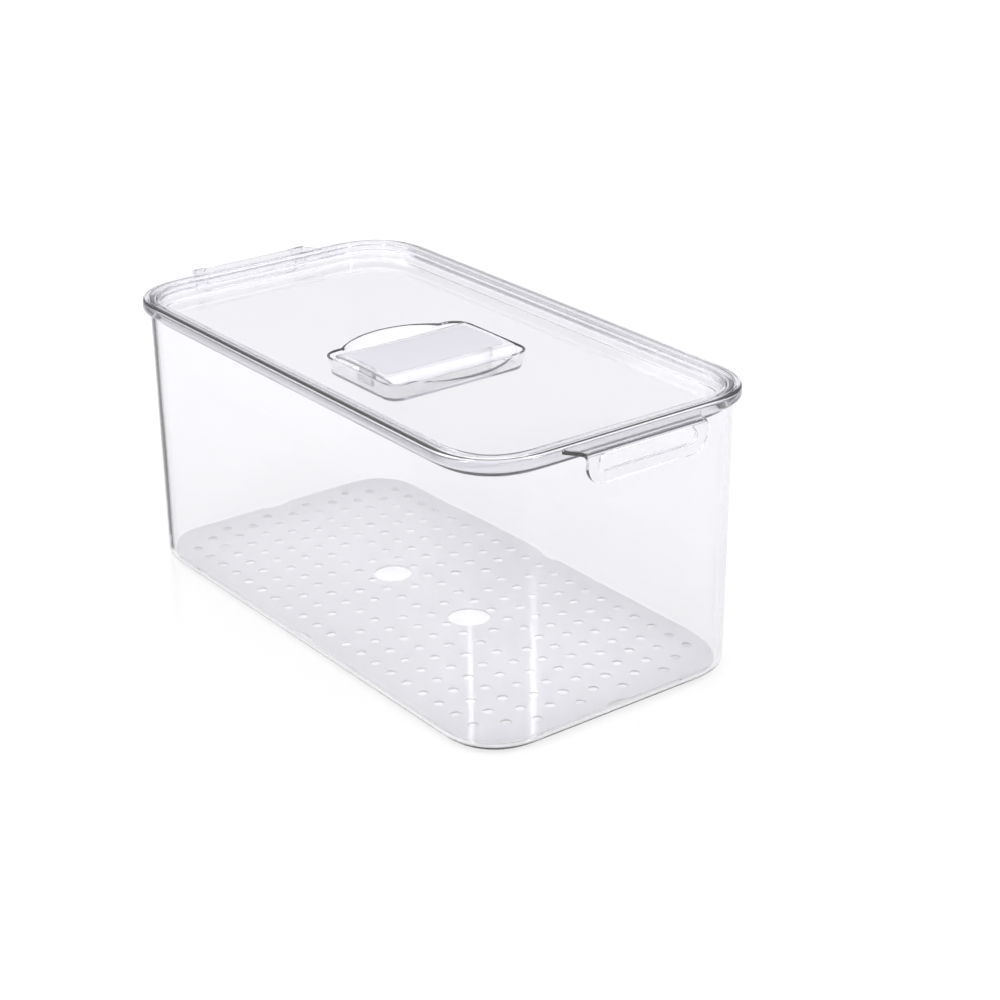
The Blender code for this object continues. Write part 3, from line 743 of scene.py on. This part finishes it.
def ranged(nodes, links, value, low, high):
    made = nodes.new("ShaderNodeMapRange")
    made.inputs["From Min"].default_value = NOISE_LOW
    made.inputs["From Max"].default_value = NOISE_HIGH
    made.inputs["To Min"].default_value = low
    made.inputs["To Max"].default_value = high
    links.new(value, made.inputs["Value"])
    return made.outputs["Result"]


def bump(nodes, links, height, distance, strength, under=None):
    made = nodes.new("ShaderNodeBump")
    made.inputs["Distance"].default_value = distance
    made.inputs["Strength"].default_value = strength
    links.new(height, made.inputs["Height"])
    if under:
        links.new(under, made.inputs["Normal"])
    return made.outputs["Normal"]


def mixed(nodes, links, value, first, second):
    made = nodes.new("ShaderNodeMix")
    made.data_type = "RGBA"
    made.inputs["A"].default_value = (*first, 1.0)
    made.inputs["B"].default_value = (*second, 1.0)
    links.new(value, made.inputs["Factor"])
    return made.outputs["Result"]


def clear_plastic(name, tint, gloss, absorbed, density, clarity):
    """Clear moulded plastic: faint flow waves, fine scuffs and a tint that builds with depth."""
    material = bpy.data.materials.new(name)
    material.use_nodes = True
    nodes = material.node_tree.nodes
    links = material.node_tree.links
    shader = nodes["Principled BSDF"]
    shader.inputs["IOR"].default_value = CLEAR_IOR
    shader.inputs["Transmission Weight"].default_value = clarity
    space = texture_space(nodes)
    slightly_greyer = tuple(part * CLOUD_SHADE for part in tint)
    clouds = noise(nodes, links, space, CLOUD_SCALE, 2.0)
    links.new(mixed(nodes, links, clouds, tint, slightly_greyer), shader.inputs["Base Color"])
    scuffs = noise(nodes, links, space, SCUFF_SCALE, 3.0)
    links.new(ranged(nodes, links, scuffs, gloss, gloss * SCUFF_ROUGHER), shader.inputs["Roughness"])
    flow = noise(nodes, links, space, FLOW_SCALE, 1.0)
    links.new(bump(nodes, links, flow, FLOW_DEPTH, FLOW_STRENGTH), shader.inputs["Normal"])
    inside = nodes.new("ShaderNodeVolumeAbsorption")
    inside.inputs["Color"].default_value = (*absorbed, 1.0)
    inside.inputs["Density"].default_value = density
    links.new(inside.outputs["Volume"], nodes["Material Output"].inputs["Volume"])
    return material


def frosted_plastic(name, light, dark, transmission, roughness):
    """Frosted plastic with a fine spark-eroded grain and a faint mottling."""
    material = bpy.data.materials.new(name)
    material.use_nodes = True
    nodes = material.node_tree.nodes
    links = material.node_tree.links
    shader = nodes["Principled BSDF"]
    shader.inputs["IOR"].default_value = FROSTED_IOR
    shader.inputs["Transmission Weight"].default_value = transmission
    space = texture_space(nodes)
    clouds = noise(nodes, links, space, MOTTLE_SCALE, 3.0)
    links.new(mixed(nodes, links, clouds, light, dark), shader.inputs["Base Color"])
    grain = noise(nodes, links, space, GRAIN_SCALE, 2.0)
    rough = ranged(nodes, links, grain, roughness * GRAIN_SMOOTHER, roughness * GRAIN_ROUGHER)
    links.new(rough, shader.inputs["Roughness"])
    links.new(bump(nodes, links, grain, GRAIN_DEPTH, GRAIN_STRENGTH), shader.inputs["Normal"])
    return material


def floor_material():
    """White paper that glows, with a painted pool of light under the bin, where it glows more and lifts
    the bin's shadow, and painted shade in the distance, where it glows less and turns grey.
    """
    material = bpy.data.materials.new("studio_floor")
    material.use_nodes = True
    nodes = material.node_tree.nodes
    links = material.node_tree.links
    shader = nodes["Principled BSDF"]
    shader.inputs["Base Color"].default_value = FLOOR_COLOUR
    shader.inputs["Roughness"].default_value = FLOOR_ROUGHNESS
    shader.inputs["Specular IOR Level"].default_value = FLOOR_SPECULAR
    place = nodes.new("ShaderNodeTexCoord")
    far = nodes.new("ShaderNodeVectorMath")
    far.operation = "LENGTH"
    links.new(place.outputs["Object"], far.inputs[0])
    # Painted shade: the floor glows less with distance and turns grey.
    ramp = nodes.new("ShaderNodeMapRange")
    ramp.interpolation_type = "SMOOTHSTEP"
    ramp.inputs["From Min"].default_value = FADE_START
    ramp.inputs["From Max"].default_value = FADE_END
    links.new(far.outputs["Value"], ramp.inputs["Value"])
    fading = mixed(nodes, links, ramp.outputs["Result"], (1.0, 1.0, 1.0), FAR_PAINTED_SHADE)
    links.new(fading, shader.inputs["Emission Color"])
    # Painted pool of light: the floor glows brighter under the bin, which lifts the bin's own shadow
    # there.
    footprint = nodes.new("ShaderNodeVectorMath")
    footprint.operation = "DIVIDE"
    footprint.inputs[1].default_value = (RIM_HALF_X, RIM_HALF_Y, 1.0)
    links.new(place.outputs["Object"], footprint.inputs[0])
    squared = nodes.new("ShaderNodeVectorMath")
    squared.operation = "MULTIPLY"
    links.new(footprint.outputs["Vector"], squared.inputs[0])
    links.new(footprint.outputs["Vector"], squared.inputs[1])
    from_middle = nodes.new("ShaderNodeVectorMath")
    from_middle.operation = "LENGTH"
    links.new(squared.outputs["Vector"], from_middle.inputs[0])
    painted_light_pool = nodes.new("ShaderNodeMapRange")
    painted_light_pool.interpolation_type = "SMOOTHSTEP"
    painted_light_pool.inputs["From Min"].default_value = UNDER_BIN_FULL
    painted_light_pool.inputs["From Max"].default_value = UNDER_BIN_END
    painted_light_pool.inputs["To Min"].default_value = FLOOR_GLOW * UNDER_BIN_PAINTED_LIGHT
    painted_light_pool.inputs["To Max"].default_value = FLOOR_GLOW
    links.new(from_middle.outputs["Value"], painted_light_pool.inputs["Value"])
    links.new(painted_light_pool.outputs["Result"], shader.inputs["Emission Strength"])
    return material


def make_floor():
    shape = bmesh.new()
    bmesh.ops.create_circle(shape, cap_ends=True, segments=FLOOR_SIDES, radius=FLOOR_RADIUS)
    floor = new_object("studio_floor", shape)
    floor.location.z = BODY_LOW.z - FLOOR_DROP
    floor.data.materials.append(floor_material())


def make_world():
    """A studio: a dim room round the horizon, which brightens with height to a broad ceiling."""
    world = bpy.data.worlds.new("studio")
    bpy.context.scene.world = world
    world.use_nodes = True
    nodes = world.node_tree.nodes
    links = world.node_tree.links
    place = nodes.new("ShaderNodeTexCoord")
    split = nodes.new("ShaderNodeSeparateXYZ")
    links.new(place.outputs["Generated"], split.inputs["Vector"])
    ramp = nodes.new("ShaderNodeValToRGB")
    ramp.color_ramp.interpolation = "EASE"
    stops = ramp.color_ramp.elements
    stops[0].position = 0.0
    stops[0].color = ROOM_LOW
    stops[1].position = 1.0
    stops[1].color = ROOM_TOP
    for position, level in ROOM_LEVELS:
        stop = stops.new(position)
        stop.color = (level * ROOM_TINT, level * ROOM_TINT, level, 1.0)
    links.new(split.outputs["Z"], ramp.inputs["Fac"])
    links.new(ramp.outputs["Color"], nodes["Background"].inputs["Color"])
    nodes["Background"].inputs["Strength"].default_value = CEILING_LIGHT


def area_light(name, place, target, width, height, power):
    data = bpy.data.lights.new(name, "AREA")
    data.shape = "RECTANGLE"
    data.size = width
    data.size_y = height
    data.energy = power
    light = bpy.data.objects.new(name, data)
    light.location = place
    facing = Vector(target) - Vector(place)
    light.rotation_euler = facing.to_track_quat("-Z", "Y").to_euler()
    bpy.context.scene.collection.objects.link(light)
    return light


def make_lights():
    """A soft key and two upright soft boxes, which the polished paper hands on to the tub's corners.
    The two are seen only as reflections."""
    area_light("key_softbox", *KEY_SOFTBOX)
    right = area_light("softbox_right", *RIGHT_SOFTBOX)
    left = area_light("softbox_left", *LEFT_SOFTBOX)
    for light in (right, left):
        light.visible_camera = False
        light.visible_transmission = False


def make_camera():
    data = bpy.data.cameras.new("camera")
    camera = bpy.data.objects.new("camera", data)
    bpy.context.scene.collection.objects.link(camera)
    azimuth = math.radians(CAMERA_AZIMUTH)
    elevation = math.radians(CAMERA_ELEVATION)
    flat = math.cos(elevation)
    back = Vector((math.sin(azimuth) * flat, -math.cos(azimuth) * flat, math.sin(elevation)))
    camera.location = CAMERA_PIVOT + back * CAMERA_DISTANCE
    facing = (CAMERA_AIM - camera.location).to_track_quat("-Z", "Y").to_matrix()
    turned = facing @ Matrix.Rotation(math.radians(-CAMERA_ROLL), 3, "Z")
    camera.rotation_euler = turned.to_euler()
    data.sensor_width = CAMERA_SENSOR
    data.lens = CAMERA_LENS
    data.clip_start = CAMERA_NEAREST
    data.clip_end = CAMERA_FARTHEST
    bpy.context.scene.camera = camera


def dress(piece, node, body, material):
    """Puts a finished piece in place of its CAD node, on that node's body."""
    piece.data.materials.clear()
    piece.data.materials.append(material)
    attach(piece, body)
    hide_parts(node)


def set_light_paths():
    """Enough bounces for light to pass through several clear walls."""
    paths = bpy.context.scene.cycles
    paths.max_bounces = CLEAR_BOUNCES
    paths.transmission_bounces = CLEAR_BOUNCES
    paths.glossy_bounces = GLOSSY_BOUNCES
    paths.transparent_max_bounces = CLEAR_BOUNCES


def make_pieces():
    crystal = clear_plastic("crystal_clear", *CRYSTAL_PLASTIC)
    lid_clear = clear_plastic("lid_clear", *LID_PLASTIC)
    grip_clear = clear_plastic("grip_clear", *GRIP_PLASTIC)
    frosted = frosted_plastic("frosted_tray", *TRAY_PLASTIC)
    grey = frosted_plastic("label_grey", *LABEL_PLASTIC)
    dress(make_body(), "bin_body", "bin", crystal)
    dress(make_lid(), "lid", "lid", lid_clear)
    dress(make_grip(), "grip_plate", "lid", grip_clear)
    dress(make_label(), "grip_label", "lid", grey)
    dress(make_tray(), "drain_tray", "tray", frosted)


make_camera()
make_world()
make_lights()
make_floor()
set_light_paths()
bpy.context.scene.view_settings.view_transform = "Standard"
make_pieces()
